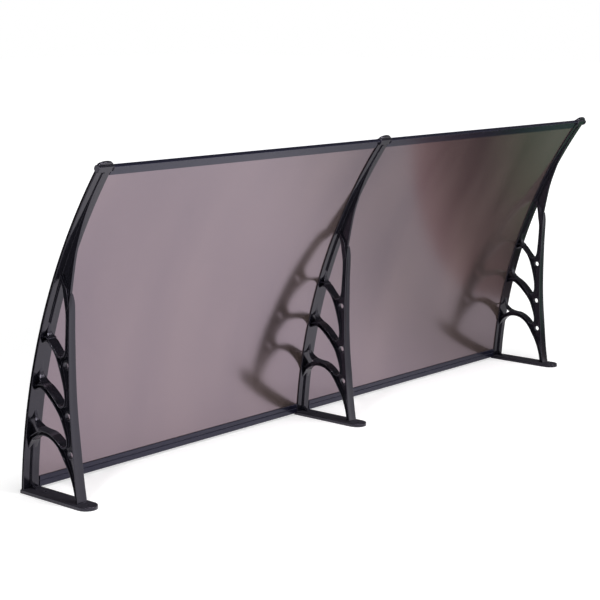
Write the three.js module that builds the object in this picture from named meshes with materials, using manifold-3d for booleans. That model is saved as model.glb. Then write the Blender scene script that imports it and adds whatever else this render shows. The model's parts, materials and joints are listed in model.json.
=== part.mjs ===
// Door canopy: two curved bronze sheets carried by three moulded brackets.
// Lengths are in millimetres. +X runs along the canopy, +Z points away from the
// wall and +Y points up the wall. The wall is the plane z = 0 and the origin is
// the middle of the middle bracket's wall plate.

import * as THREE from 'three';
import { mergeVertices } from 'three/addons/utils/BufferGeometryUtils.js';
import Module from 'manifold-3d';

const wasm = await Module();
wasm.setup();

// Canopy
const BRACKET_PITCH = 1000;
const CURVE_RADIUS = 1500;
const BASE_LEAN = THREE.MathUtils.degToRad(3.5);
const RAIL_LENGTH = 861;
const CURVE_STEP = 48;
const FIT_GAP = 0.3;

// Stack on each rail, from the weather side inwards
const STRIP_THICKNESS = 2.2;
const SHEET_THICKNESS = 2.8;
const FLANGE_THICKNESS = 3;
const SHEET_INSET = 4;
const SHEET_SHORT = 4;
const SHEET_JOINT = 5;
const STRIP_CROWN = 0.4;

// Rail of the bracket
const RAIL_WIDTH_BASE = 47;
const RAIL_WIDTH_TIP = 41;
const WEB_THICKNESS = 6;
const RIB_DEPTH = 5;
const RIB_RANGES = [[20, 125], [440, 575]];
const WEDGE_END = 816;
const TIP_RIB_DEPTH = 2.5;
const TIP_RIB_SHORT = 6;
const RAIL_START = 4;
const TIP_PAD_WIDTH = 27;
const TIP_PAD_REACH = 9;

// Linings of the bracket's windows. The points of the truss are drawn in TRUSS_UNIT.
const TRUSS_UNIT = 1;
const LINING_THICKNESS = 3;
const ARM_WIDTH = 28;
const POST_BACK_WIDTH = 17;
const SWEEP_TIP_WIDTH = 6;
const POST_WIDTH_TOP = 17.5;
const POST_WIDTH_FOOT = 30;
const POST_CROWN = 1.2;

// Round holes through the post
const HOLE_DIAMETER = 15;
const HOLE_CHAMFER = 1.5;
const BOSS_DIAMETER = 24;
const BOSS_WIDTH = 10;

// Wall plate
const PLATE_LENGTH = 237;
const PLATE_WIDTH = 52;
const PLATE_THICKNESS = 9;
const PLATE_CHAMFER = 2;
const PLATE_BACK = 1;
const PLATE_MIDDLE = 118;
const WALL_HOLE_DIAMETER = 7;
const WALL_HOLE_BOSS = 15;
const WALL_HOLE_RISE = 2;
const WALL_HOLE_UPPER = 62;
const WALL_HOLE_END = 22;

// Edge bars
const FRONT_BAR_LENGTH = 25;
const FRONT_BAR_REACH = 8;
const FRONT_BAR_THICKNESS = 9.5;
const FRONT_BEAD_LENGTH = 7;
const FRONT_LEG_THICKNESS = 7.6;
const REAR_BAR_LENGTH = 26;
const REAR_BAR_START = 4;
const REAR_BAR_THICKNESS = 8.6;
const REAR_GROOVE = 1.2;
const BAR_END_GAP = 0.5;

// End caps
const CAP_WALL = 2.7;
const CAP_TOP = 3;
const CAP_NOSE_DEPTH = 7;
const CAP_REACH_SIDE = 12.5;
const CAP_REACH_MIDDLE = 22;
const CAP_SLOPE = 2.5;
const CAP_EDGE = 1.8;
const CAP_LIP = 2.5;
const CAP_CHEEK_DEPTH = 14;
const CAP_CHEEK_RADIUS = 7;
const CAP_RECESS_DIAMETER = 5.5;
const CAP_RECESS_DEPTH = 4;
const CAP_RECESS_SPACING = 20;
const CAP_RECESS_LEVEL = 3.2;

const SHEET_FACE = STRIP_THICKNESS + FIT_GAP;
const FLANGE_FACE = SHEET_FACE + SHEET_THICKNESS + FIT_GAP;
const FLANGE_UNDERSIDE = FLANGE_FACE + FLANGE_THICKNESS;
const SHEET_START = PLATE_THICKNESS + FIT_GAP;
const SHEET_END = RAIL_LENGTH - SHEET_SHORT;
const CAP_WIDTH = RAIL_WIDTH_TIP + 2 * (FIT_GAP + CAP_WALL);

// Side view. A point is (d, z): d down the wall from the sheet's wall edge and
// z away from the wall. Points of the truss are given by the rail: the length
// along it and the depth below its weather face.
const side = (d, z) => new THREE.Vector2(d, z);
const toPart = (x, p) => new THREE.Vector3(x, PLATE_MIDDLE - p.x, p.y);
const byWall = (d, z) => side(d * TRUSS_UNIT, z * TRUSS_UNIT);
const alongRail = (pairs) => (
  pairs.map(([length, depth]) => railPoint(length * TRUSS_UNIT, depth * TRUSS_UNIT))
);
const onRail = (length) => railPoint(length * TRUSS_UNIT, FLANGE_UNDERSIDE);

function railPoint(length, depth) {
  const lean = BASE_LEAN + length / CURVE_RADIUS;
  const radius = CURVE_RADIUS - depth;
  return side(
    CURVE_RADIUS * Math.cos(BASE_LEAN) - radius * Math.cos(lean),
    radius * Math.sin(lean) - CURVE_RADIUS * Math.sin(BASE_LEAN),
  );
}

function railWidth(length) {
  return THREE.MathUtils.lerp(RAIL_WIDTH_BASE, RAIL_WIDTH_TIP, length / RAIL_LENGTH);
}

// Stations along the curve are the same for every piece of the stack, so that
// their facets lie parallel.
function railStations(start, end) {
  const stations = [start];
  for (let k = Math.ceil(start / CURVE_STEP + 0.2); k * CURVE_STEP < end - 5; k += 1) {
    stations.push(k * CURVE_STEP);
  }
  stations.push(end);
  return stations;
}

// Solids
function signedVolume(geometry) {
  const p = geometry.attributes.position;
  const index = geometry.index.array;
  const [a, b, c] = [new THREE.Vector3(), new THREE.Vector3(), new THREE.Vector3()];
  let sum = 0;
  for (let i = 0; i < index.length; i += 3) {
    a.fromBufferAttribute(p, index[i]);
    b.fromBufferAttribute(p, index[i + 1]);
    c.fromBufferAttribute(p, index[i + 2]);
    sum += a.dot(b.cross(c)) / 6;
  }
  return sum;
}

function solid(source) {
  const bare = source.clone();
  bare.deleteAttribute('normal');
  bare.deleteAttribute('uv');
  const geometry = mergeVertices(bare, 1e-4);
  const triangles = Uint32Array.from(geometry.index.array);
  if (signedVolume(geometry) < 0) triangles.reverse();
  return new wasm.Manifold(new wasm.Mesh({
    numProp: 3,
    vertProperties: Float32Array.from(geometry.attributes.position.array),
    triVerts: triangles,
  }));
}

function toGeometry(shape) {
  const mesh = shape.getMesh();
  const geometry = new THREE.BufferGeometry();
  geometry.setAttribute('position', new THREE.BufferAttribute(mesh.vertProperties, 3));
  geometry.setIndex(new THREE.BufferAttribute(mesh.triVerts, 1));
  geometry.computeVertexNormals();
  return geometry;
}

const join = (...shapes) => shapes.reduce((whole, shape) => whole.add(shape));
const cut = (whole, ...tools) => tools.reduce((rest, tool) => rest.subtract(tool), whole);

// A solid through a row of convex sections with the same number of corners.
function loft(sections) {
  const corners = sections[0].length;
  const positions = sections.flat().flatMap((p) => [p.x, p.y, p.z]);
  const index = [];
  for (let i = 0; i + 1 < sections.length; i += 1) {
    for (let j = 0; j < corners; j += 1) {
      const a = i * corners + j;
      const b = i * corners + (j + 1) % corners;
      index.push(a, b, b + corners, a, b + corners, a + corners);
    }
  }
  const last = (sections.length - 1) * corners;
  for (let j = 1; j + 1 < corners; j += 1) {
    index.push(0, j + 1, j, last, last + j, last + j + 1);
  }
  const geometry = new THREE.BufferGeometry();
  geometry.setAttribute('position', new THREE.Float32BufferAttribute(positions, 3));
  geometry.setIndex(index);
  return solid(geometry);
}

// A side view outline given a width across the bracket.
function plate(outline, width) {
  const shape = new THREE.Shape(outline);
  const geometry = new THREE.ExtrudeGeometry(shape, { depth: width, bevelEnabled: false });
  geometry.applyMatrix4(new THREE.Matrix4().makeBasis(
    new THREE.Vector3(0, -1, 0), new THREE.Vector3(0, 0, 1), new THREE.Vector3(-1, 0, 0),
  ));
  geometry.translate(width / 2, PLATE_MIDDLE, 0);
  return solid(geometry);
}

// A band that follows the rail. The section lists (x, depth) corners.
function railBand(start, end, section) {
  return loft(railStations(start, end).map((length) => (
    section(length).map(([x, depth]) => toPart(x, railPoint(length, depth)))
  )));
}

function rectangle(left, right, top, bottom) {
  return [[left, top], [right, top], [right, bottom], [left, bottom]];
}

// A strip of moulding that follows a side view curve. Its outer face lies on the
// curve and its thickness goes to the given side.
function lining(curve, steps, width, thickness) {
  const sections = [];
  for (let i = 0; i <= steps; i += 1) {
    const u = i / steps;
    const p = curve.getPoint(u);
    const t = curve.getTangent(u);
    const inner = side(p.x - t.y * thickness, p.y + t.x * thickness);
    const half = width(u) / 2;
    sections.push([toPart(-half, p), toPart(half, p), toPart(half, inner), toPart(-half, inner)]);
  }
  return loft(sections);
}

function cylinder(diameter, length, place) {
  const geometry = new THREE.CylinderGeometry(diameter / 2, diameter / 2, length, 16);
  return solid(place(geometry));
}

// Bracket
const postFront = new THREE.SplineCurve([
  ...alongRail([
    [542, 49.5], [515, 61], [488, 70.5], [450, 82.5], [412, 94.5], [374, 105.5], [336, 116],
    [298, 126], [260, 136.2], [222, 146.3], [184, 156.5], [146, 165.5], [105, 174.2], [65, 182.5],
  ]),
  byWall(193, PLATE_THICKNESS - 5),
]);

const wedgeFront = new THREE.SplineCurve([
  ...alongRail([[542, 49.5], [585, 39.5], [634, 28], [680, 21.5], [726, 17], [775, 13.8]]),
  railPoint(WEDGE_END * TRUSS_UNIT, FLANGE_UNDERSIDE + RIB_DEPTH),
  railPoint(RAIL_LENGTH - TIP_RIB_SHORT, FLANGE_UNDERSIDE + TIP_RIB_DEPTH),
]);

// A window of the bracket: its lining starts on the rail at one length, runs
// round the window through the given points and ends on the rail at another.
function railWindow(start, points, end) {
  return {
    start,
    end,
    curve: new THREE.SplineCurve([onRail(start), ...alongRail(points), onRail(end)]),
  };
}

const windows = [
  { ...railWindow(560, [
    [553, 16.5], [544, 26], [520, 40.5], [496, 54.5], [467, 65], [430, 75.5], [404, 81.5],
    [391, 81.5], [384, 77], [383, 69], [392, 52], [402, 35], [409, 21], [422, 11.5],
  ], 452), steps: 19, top: POST_BACK_WIDTH },
  { ...railWindow(387, [
    [399, 21.5], [394, 37], [384, 54], [368, 69], [345, 84], [316, 98.5], [289, 107.5],
    [271, 109.5], [261, 105.5], [261, 97.5], [271, 82.5], [281, 65], [288, 46.5], [292, 30],
    [301, 17.5], [316, 10],
  ], 338), steps: 22, top: ARM_WIDTH },
  { ...railWindow(265, [
    [277, 28.5], [274, 46], [265, 64.5], [251, 86.5], [233, 106], [210, 119.5], [187, 129.5],
    [169, 133.5], [159, 131], [157, 123], [167, 108], [175, 89.5], [178, 71], [176, 52],
    [177, 35.5], [184, 23], [194, 15],
  ], 212), steps: 23, top: ARM_WIDTH },
];

// The lowest window is an arch that ends on the wall plate.
const ARCH_START = 112;
const archCurve = new THREE.SplineCurve([
  onRail(ARCH_START),
  ...alongRail([
    [137, 18.5], [152, 33.5], [163, 56], [165, 79], [158, 101], [142, 121], [122, 136],
    [102, 148.5], [79, 159.5], [55, 169],
  ]),
  byWall(178, PLATE_THICKNESS + 3),
]);
const ARCH_STEPS = 13;
const GUSSET_END = 48;

// The linings are widest on the arms, narrow on the post and end in a point
// where they run out on the rail.
const POST_PLACE = 0.43;
const POST_SPREAD = 0.12;
const SWEEP_PLACE = 0.8;

function liningWidth(top) {
  return (u) => {
    const onPost = Math.exp(-(((u - POST_PLACE) / POST_SPREAD) ** 2));
    const arm = u < POST_PLACE ? top : ARM_WIDTH;
    const width = THREE.MathUtils.lerp(arm, POST_BACK_WIDTH, onPost);
    return THREE.MathUtils.lerp(width, SWEEP_TIP_WIDTH, THREE.MathUtils.smoothstep(u, SWEEP_PLACE, 1));
  };
}

const archWidth = (u) => (
  THREE.MathUtils.lerp(ARM_WIDTH, POST_BACK_WIDTH, THREE.MathUtils.smoothstep(u, 0.55, 0.85))
);

// Upper skins of the arms, from the foot of each sweep to the rail.
const armRoots = [
  [[[408, 24.5], [409, 15]], 406],
  [[[291, 35.5], [286, 22]], 279],
  [[[174, 46], [164, 29.5]], 146],
].map(([points, end]) => new THREE.SplineCurve([...alongRail(points), onRail(end)]));

const POST_STEPS = 14;
const postHoles = alongRail([[367, 91.5], [241, 124.5], [143, 147.5]]);

function railEdge(start, end, depth) {
  return railStations(start, end).map((length) => railPoint(length, depth));
}

const trussRail = (start, end) => (
  railEdge(start * TRUSS_UNIT, end * TRUSS_UNIT, FLANGE_UNDERSIDE)
);

function webOutline() {
  const front = postFront.getPoints(POST_STEPS).reverse();
  const wedge = wedgeFront.getPoints(8).slice(1);
  const rail = railEdge(RAIL_START, RAIL_LENGTH - TIP_RIB_SHORT, FLANGE_FACE + 1).reverse();
  return [...front, ...wedge, ...rail];
}

function bracketWeb() {
  const openings = windows.map(({ curve, steps, start, end }) => plate(
    [...curve.getPoints(steps), ...trussRail(end, start).slice(1, -1)],
    WEB_THICKNESS + 2,
  ));
  const foot = [
    byWall(170, PLATE_THICKNESS), byWall(60, PLATE_THICKNESS), byWall(34, 14), byWall(22, 30),
  ];
  const arch = plate([
    ...archCurve.getPoints(ARCH_STEPS), ...foot, ...trussRail(GUSSET_END, ARCH_START).slice(0, -1),
  ], WEB_THICKNESS + 2);
  const web = cut(plate(webOutline(), WEB_THICKNESS), ...openings, arch, ...armOpenings());
  return join(web, ...RIB_RANGES.map(([start, end]) => rib(start, end)));
}

function rib(start, end) {
  const half = WEB_THICKNESS / 2;
  return railBand(start, end, () => (
    rectangle(-half, half, FLANGE_UNDERSIDE - 1, FLANGE_UNDERSIDE + RIB_DEPTH)
  ));
}

// Triangular holes between each arm, its sweep and the rail. The linings cover
// their edges.
function armOpenings() {
  const openings = [
    [408, 432, [[419, 12], [410, 20.5]]],
    [282, 322, [[308, 11.5], [298, 18], [291, 32]]],
    [149, 198, [[190, 16], [180, 24.5], [175, 41], [166, 29]]],
  ];
  return openings.map(([start, end, points]) => plate(
    [onRail(start), onRail(end), ...alongRail(points)], WEB_THICKNESS + 2,
  ));
}

// Room above the flange for the sheet and its cover strip.
function sheetSeat() {
  return railBand(PLATE_THICKNESS, RAIL_LENGTH + 10, () => (
    rectangle(-PLATE_WIDTH, PLATE_WIDTH, -10, FLANGE_FACE)
  ));
}

// End pad of the rail, inside the end cap.
function tipPad() {
  return plate([
    tipPoint(-2, FLANGE_FACE), tipPoint(TIP_PAD_REACH, FLANGE_FACE),
    tipPoint(TIP_PAD_REACH, FLANGE_UNDERSIDE), tipPoint(-2, FLANGE_UNDERSIDE),
  ], TIP_PAD_WIDTH);
}

function postFlange() {
  const sections = [];
  for (let i = 0; i <= POST_STEPS; i += 1) {
    const u = i / POST_STEPS;
    const p = postFront.getPoint(u);
    const back = side(p.x - LINING_THICKNESS, p.y);
    const crown = side(p.x + POST_CROWN, p.y);
    const full = THREE.MathUtils.lerp(POST_WIDTH_TOP, POST_WIDTH_FOOT, u);
    const half = THREE.MathUtils.lerp(WEB_THICKNESS, full, Math.min(1, u * POST_STEPS)) / 2;
    sections.push([
      toPart(-half, p), toPart(half * 0.2, crown), toPart(half, p),
      toPart(half, back), toPart(-half, back),
    ]);
  }
  return loft(sections);
}

// Blunt top of the post, which runs up on the rail in front of the first window.
function postBlade() {
  return plate(alongRail([
    [572, 7], [564, 17.3], [558, 25.4], [548.5, 38.7], [528, 52.6], [512, 60],
    [498, 56], [522, 42], [546, 27.5], [555, 17.5], [561, 7],
  ]), POST_WIDTH_TOP);
}

function wallPlate() {
  const outline = (inset) => {
    const half = PLATE_WIDTH / 2 - inset;
    const centre = PLATE_LENGTH - PLATE_BACK - PLATE_WIDTH / 2;
    const points = [[-half, -PLATE_BACK + inset], [half, -PLATE_BACK + inset]];
    for (let i = 0; i <= 12; i += 1) {
      const angle = Math.PI * i / 12;
      points.push([half * Math.cos(angle), centre + half * Math.sin(angle)]);
    }
    return points;
  };
  const ring = (inset, z) => outline(inset).map(([x, d]) => toPart(x, side(d, z)));
  return loft([
    ring(0, 0), ring(0, PLATE_THICKNESS - PLATE_CHAMFER), ring(PLATE_CHAMFER, PLATE_THICKNESS),
  ]);
}

function upright(diameter, length, d, z) {
  return cylinder(diameter, length, (geometry) => (
    geometry.rotateX(Math.PI / 2).translate(0, PLATE_MIDDLE - d, z + length / 2)
  ));
}

function crosswise(diameter, length, p) {
  return cylinder(diameter, length, (geometry) => (
    geometry.rotateZ(Math.PI / 2).translate(0, PLATE_MIDDLE - p.x, p.y)
  ));
}

function holeChamfer(p, sign) {
  const reach = HOLE_CHAMFER + 0.2;
  const geometry = new THREE.CylinderGeometry(
    HOLE_DIAMETER / 2 + reach, HOLE_DIAMETER / 2 - 0.1, reach + 0.1, 16,
  );
  geometry.rotateZ(-sign * Math.PI / 2);
  geometry.translate(sign * (BOSS_WIDTH / 2 + 0.2 - (reach + 0.1) / 2), PLATE_MIDDLE - p.x, p.y);
  return solid(geometry);
}

function bracket() {
  const flange = railBand(RAIL_START, RAIL_LENGTH, (length) => {
    const half = railWidth(length) / 2;
    return rectangle(-half, half, FLANGE_FACE, FLANGE_UNDERSIDE);
  });
  const body = join(
    flange, bracketWeb(), postFlange(), postBlade(), wallPlate(), tipPad(),
    ...windows.map(({ curve, steps, top }) => (
      lining(curve, steps, liningWidth(top), LINING_THICKNESS)
    )),
    lining(archCurve, ARCH_STEPS, archWidth, LINING_THICKNESS),
    ...armRoots.map((curve) => lining(curve, 4, () => ARM_WIDTH, LINING_THICKNESS)),
    ...postHoles.map((p) => crosswise(BOSS_DIAMETER, BOSS_WIDTH, p)),
    upright(WALL_HOLE_BOSS, WALL_HOLE_RISE + 3, WALL_HOLE_UPPER, PLATE_THICKNESS - 3),
  );
  return cut(
    body,
    sheetSeat(),
    ...postHoles.map((p) => crosswise(HOLE_DIAMETER, BOSS_WIDTH + 30, p)),
    ...postHoles.flatMap((p) => [holeChamfer(p, 1), holeChamfer(p, -1)]),
    upright(WALL_HOLE_DIAMETER, PLATE_THICKNESS + 8, WALL_HOLE_UPPER, -2),
    upright(WALL_HOLE_DIAMETER, PLATE_THICKNESS + 8, PLATE_LENGTH - PLATE_BACK - WALL_HOLE_END, -2),
  );
}

// Cover strip: a flat strip with a slight crown over the rail.
function coverStrip() {
  return railBand(SHEET_START, SHEET_END, (length) => {
    const half = railWidth(length) / 2;
    return [
      [-half, STRIP_THICKNESS], [-half, STRIP_CROWN], [-half * 0.5, 0],
      [half * 0.5, 0], [half, STRIP_CROWN], [half, STRIP_THICKNESS],
    ];
  });
}

// Sheets: each covers one bay, from an end bracket to the joint on the middle one.
function sheet(sign) {
  const end = BRACKET_PITCH + RAIL_WIDTH_TIP / 2 - SHEET_INSET;
  const joint = SHEET_JOINT / 2;
  return railBand(SHEET_START, SHEET_END, () => rectangle(
    Math.min(sign * end, sign * joint), Math.max(sign * end, sign * joint),
    SHEET_FACE, SHEET_FACE + SHEET_THICKNESS,
  ));
}

// Edge bars: slotted bars pushed on the sheets' long edges between the brackets.
function barEnds(sign, width) {
  const inner = width / 2 + BAR_END_GAP;
  const outer = BRACKET_PITCH - inner;
  return [Math.min(sign * inner, sign * outer), Math.max(sign * inner, sign * outer)];
}

// Tangent frame at the rail's tip: u past the tip, depth into the canopy.
function tipPoint(u, depth) {
  const lean = BASE_LEAN + RAIL_LENGTH / CURVE_RADIUS;
  const p = railPoint(RAIL_LENGTH, depth);
  return side(p.x + u * Math.sin(lean), p.y + u * Math.cos(lean));
}

function bar(outline, slot, sign, between) {
  const [left, right] = barEnds(sign, between);
  const width = right - left;
  const body = cut(plate(outline, width), plate(slot, width + 2));
  return body.translate([(left + right) / 2, 0, 0]);
}

// Slot that takes the sheet's outer edge.
function tipSlot(start) {
  const end = FIT_GAP - SHEET_SHORT;
  const outer = SHEET_FACE - FIT_GAP;
  const inner = SHEET_FACE + SHEET_THICKNESS + FIT_GAP;
  return [
    tipPoint(start, outer), tipPoint(end, outer), tipPoint(end, inner), tipPoint(start, inner),
  ];
}

function frontBar(sign) {
  const back = FRONT_BAR_REACH - FRONT_BAR_LENGTH;
  const bead = FRONT_BAR_REACH - FRONT_BEAD_LENGTH;
  const outline = [
    tipPoint(back, 0.6), tipPoint(back, FRONT_LEG_THICKNESS), tipPoint(bead, FRONT_LEG_THICKNESS),
    tipPoint(bead, FRONT_BAR_THICKNESS), tipPoint(FRONT_BAR_REACH - 2, FRONT_BAR_THICKNESS),
    tipPoint(FRONT_BAR_REACH, FRONT_BAR_THICKNESS - 2), tipPoint(FRONT_BAR_REACH, 1.6),
    tipPoint(FRONT_BAR_REACH - 1.6, 0),
    tipPoint(bead, 0), tipPoint(bead, 0.6),
  ];
  return bar(outline, tipSlot(back - 1), sign, CAP_WIDTH);
}

function rearBar(sign) {
  const start = REAR_BAR_START;
  const end = start + REAR_BAR_LENGTH;
  const middle = (start + end) / 2;
  const groove = REAR_GROOVE;
  const outline = [
    railPoint(start, 0), railPoint(end, 0), railPoint(end, REAR_BAR_THICKNESS),
    railPoint(middle + groove, REAR_BAR_THICKNESS), railPoint(middle, REAR_BAR_THICKNESS - groove),
    railPoint(middle - groove, REAR_BAR_THICKNESS), railPoint(start, REAR_BAR_THICKNESS),
  ];
  const low = SHEET_START - FIT_GAP;
  const slot = [
    railPoint(low, SHEET_FACE - FIT_GAP), railPoint(end + 1, SHEET_FACE - FIT_GAP),
    railPoint(end + 1, SHEET_FACE + SHEET_THICKNESS + FIT_GAP),
    railPoint(low, SHEET_FACE + SHEET_THICKNESS + FIT_GAP),
  ];
  return bar(outline, slot, sign, PLATE_WIDTH);
}

// End cap: a hood with an arched nose over the rail's end pad, a lip under the
// rail, a round cheek on each side and two round recesses in the nose.
function endCap() {
  const back = FIT_GAP - SHEET_SHORT;
  const outer = FLANGE_FACE - FIT_GAP;
  const inner = FLANGE_UNDERSIDE + FIT_GAP;
  const pocket = capBlock(back - 2, TIP_PAD_REACH + FIT_GAP, outer, inner, CAP_WIDTH - 2 * CAP_WALL);
  const lip = capBlock(back, CAP_REACH_SIDE, outer, inner + CAP_LIP, CAP_WIDTH - CAP_WALL);
  const hood = loft([
    capLevel(back, CAP_SLOPE, -CAP_TOP), capLevel(back, 0, CAP_SLOPE - CAP_TOP),
    capLevel(back, 0, CAP_NOSE_DEPTH - CAP_EDGE), capLevel(back, CAP_EDGE, CAP_NOSE_DEPTH),
  ]);
  const cheekPlace = (CAP_WIDTH - CAP_WALL) / 2;
  const cheek = plate(cheekOutline(back), CAP_WALL);
  return cut(
    join(hood, lip, cheek.translate([cheekPlace, 0, 0]), cheek.translate([-cheekPlace, 0, 0])),
    pocket, capRecess(-1), capRecess(1),
  );
}

function capBlock(back, reach, outer, inner, width) {
  return plate([
    tipPoint(back, outer), tipPoint(reach, outer), tipPoint(reach, inner), tipPoint(back, inner),
  ], width);
}

function capLevel(back, inset, depth) {
  const half = (CAP_WIDTH - CAP_WALL) / 2;
  const points = [];
  for (let i = 0; i <= 10; i += 1) {
    const angle = Math.PI * i / 10;
    const reach = THREE.MathUtils.lerp(CAP_REACH_SIDE, CAP_REACH_MIDDLE, Math.sin(angle)) - inset;
    points.push(toPart(half * Math.cos(angle), tipPoint(reach, depth)));
  }
  points.push(toPart(-half, tipPoint(back, depth)), toPart(half, tipPoint(back, depth)));
  return points;
}

function cheekOutline(back) {
  const r = CAP_CHEEK_RADIUS;
  const corner = (u, depth, turn) => [0, 1, 2, 3].map((i) => {
    const angle = Math.PI * (turn + i / 3) / 2;
    return tipPoint(u + r * Math.cos(angle), depth + r * Math.sin(angle));
  });
  const ahead = CAP_REACH_SIDE - r;
  return [
    ...corner(ahead, CAP_CHEEK_DEPTH - r, 0), ...corner(back + r, CAP_CHEEK_DEPTH - r, 1),
    ...corner(back + r, r - CAP_TOP, 2), ...corner(ahead, r - CAP_TOP, 3),
  ];
}

function capRecess(sign) {
  const x = sign * CAP_RECESS_SPACING / 2;
  const reach = 2 * CAP_RECESS_DEPTH;
  const geometry = new THREE.CylinderGeometry(
    CAP_RECESS_DIAMETER / 2, CAP_RECESS_DIAMETER / 2, reach, 12,
  );
  const middle = toPart(x, tipPoint(CAP_REACH_MIDDLE - 1, CAP_RECESS_LEVEL));
  const ahead = toPart(x, tipPoint(CAP_REACH_MIDDLE, CAP_RECESS_LEVEL));
  geometry.applyQuaternion(new THREE.Quaternion().setFromUnitVectors(
    new THREE.Vector3(0, 1, 0), ahead.sub(middle).normalize(),
  ));
  return solid(geometry.translate(middle.x, middle.y, middle.z));
}

// Materials
const black = new THREE.MeshStandardMaterial({ color: 0x1b1b20, roughness: 0.38, metalness: 0 });
const bronze = new THREE.MeshStandardMaterial({
  color: 0x8a7a80, roughness: 0.12, metalness: 0, transparent: true, opacity: 0.85,
});
const barBlack = new THREE.MeshStandardMaterial({ color: 0x22222a, roughness: 0.32, metalness: 0.6 });

// Canopy
const canopy = new THREE.Group();

function place(name, shape, material, x = 0) {
  const mesh = new THREE.Mesh(toGeometry(shape), material);
  mesh.name = name;
  mesh.position.x = x;
  canopy.add(mesh);
}

const oneBracket = bracket();
const oneStrip = coverStrip();
const oneCap = endCap();
const bays = [['left', -1], ['right', 1]];
const stations = [['left', -BRACKET_PITCH], ['middle', 0], ['right', BRACKET_PITCH]];

for (const [name, x] of stations) {
  place(`bracket_${name}`, oneBracket, black, x);
  place(`cover_strip_${name}`, oneStrip, black, x);
  place(`end_cap_${name}`, oneCap, black, x);
}

for (const [name, sign] of bays) {
  place(`sheet_${name}`, sheet(sign), bronze);
  place(`front_bar_${name}`, frontBar(sign), barBlack);
  place(`rear_bar_${name}`, rearBar(sign), barBlack);
}

export default canopy;
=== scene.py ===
"""Door canopy: two bronze sheets on three black brackets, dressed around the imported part."""

import json
import math

import bmesh
import bpy
from mathutils import Matrix, Vector

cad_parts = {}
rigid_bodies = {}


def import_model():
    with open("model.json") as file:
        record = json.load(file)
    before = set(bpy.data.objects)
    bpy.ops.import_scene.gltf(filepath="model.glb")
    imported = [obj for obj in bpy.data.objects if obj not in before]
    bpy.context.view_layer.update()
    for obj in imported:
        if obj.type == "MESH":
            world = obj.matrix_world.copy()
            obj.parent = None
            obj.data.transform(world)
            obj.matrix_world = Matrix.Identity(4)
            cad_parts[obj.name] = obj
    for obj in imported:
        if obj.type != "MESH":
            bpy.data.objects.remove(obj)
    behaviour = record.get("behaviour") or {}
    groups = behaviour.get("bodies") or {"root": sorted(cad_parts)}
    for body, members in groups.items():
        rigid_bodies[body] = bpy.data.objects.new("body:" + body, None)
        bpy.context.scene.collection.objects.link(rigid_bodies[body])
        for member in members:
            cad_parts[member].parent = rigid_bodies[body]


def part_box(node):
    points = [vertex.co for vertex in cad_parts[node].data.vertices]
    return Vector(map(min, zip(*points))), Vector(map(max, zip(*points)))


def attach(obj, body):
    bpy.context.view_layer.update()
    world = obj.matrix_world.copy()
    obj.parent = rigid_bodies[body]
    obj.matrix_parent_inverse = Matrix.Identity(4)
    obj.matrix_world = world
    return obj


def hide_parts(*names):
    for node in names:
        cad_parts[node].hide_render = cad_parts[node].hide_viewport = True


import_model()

bl_info = {
    "name": "Door canopy",
    "version": (1, 0, 0),
    "blender": (4, 5, 0),
    "location": "View3D > Sidebar > Canopy",
    "description": "Builds a curved door canopy with its brackets, bars, strips and caps",
    "category": "Object",
}

MM = 0.001
BAYS = ("left", "right")
ROOT = "root"

PLATE_LOW, PLATE_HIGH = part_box("bracket_middle")
RIGHT_LOW, RIGHT_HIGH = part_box("bracket_right")
PITCH = (RIGHT_LOW.x + RIGHT_HIGH.x) / 2
BRACKET_PLACES = (("left", -PITCH), ("middle", 0), ("right", PITCH))
PLATE_WIDTH = PLATE_HIGH.x - PLATE_LOW.x
PLATE_BACK = 1 * MM
WALL_EDGE = PLATE_HIGH.y - PLATE_BACK


# Sizes and colours that a user would change
def size(name, description, default):
    return bpy.props.FloatProperty(
        name=name, description=description, default=default * MM, unit="LENGTH", subtype="DISTANCE",
    )


def colour(name, description, default):
    return bpy.props.FloatVectorProperty(
        name=name, description=description, default=default, size=4, min=0, max=1, subtype="COLOR",
    )


class CanopySizes(bpy.types.PropertyGroup):
    radius: size("Curve radius", "Radius of the weather face", 1500)
    lean: bpy.props.FloatProperty(
        name="Lean at the wall", description="Lean of the rail where it leaves the wall",
        default=math.radians(3.5), subtype="ANGLE",
    )
    rail_length: size("Rail length", "Length of the rail along its curve", 861)
    strip: size("Cover strip", "Thickness of the cover strips", 2.2)
    sheet: size("Sheet", "Thickness of the bronze sheets", 2.8)
    flange: size("Rail flange", "Thickness of the rail's flange", 3)
    gap: size("Fit gap", "Gap between the pieces of the stack", 0.3)
    rail_base: size("Rail width at the wall", "Width of the rail at the wall plate", 47)
    rail_tip: size("Rail width at the tip", "Width of the rail under the end cap", 41)
    web: size("Web", "Thickness of the bracket's web", 6)
    lining: size("Lining", "Thickness of the linings of the windows", 3)
    arm_width: size("Arm width", "Width of the arms", 28)
    post_width: size("Post back width", "Width of the linings on the post", 17)
    sweep_tip: size("Sweep tip", "Width of the linings where they run out on the rail", 6)
    plate_thickness: size("Wall plate", "Thickness of the wall plates", 9)
    plate_length: size("Wall plate length", "Length of the wall plates", 237)
    hole: size("Post hole", "Diameter of the holes through the post", 15)
    boss: size("Post boss", "Diameter of the bosses on the post", 24)


class CanopyColours(bpy.types.PropertyGroup):
    plastic: colour("Bracket plastic", "Colour of the moulded brackets", (0.005, 0.005, 0.008, 1))
    bronze: colour("Bronze sheet", "Darkest colour in the mass of the sheets", (0.042, 0.03, 0.027, 1))
    bronze_light: colour(
        "Bronze clouds", "Lightest colour in the mass of the sheets", (0.09, 0.066, 0.058, 1))
    bars: colour("Bars", "Colour of the edge bars", (0.007, 0.007, 0.016, 1))
    floor: colour("Floor", "Colour of the studio floor", (0.82, 0.82, 0.82, 1))


def sizes():
    return bpy.context.scene.canopy_sizes


def colours():
    return bpy.context.scene.canopy_colours


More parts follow.
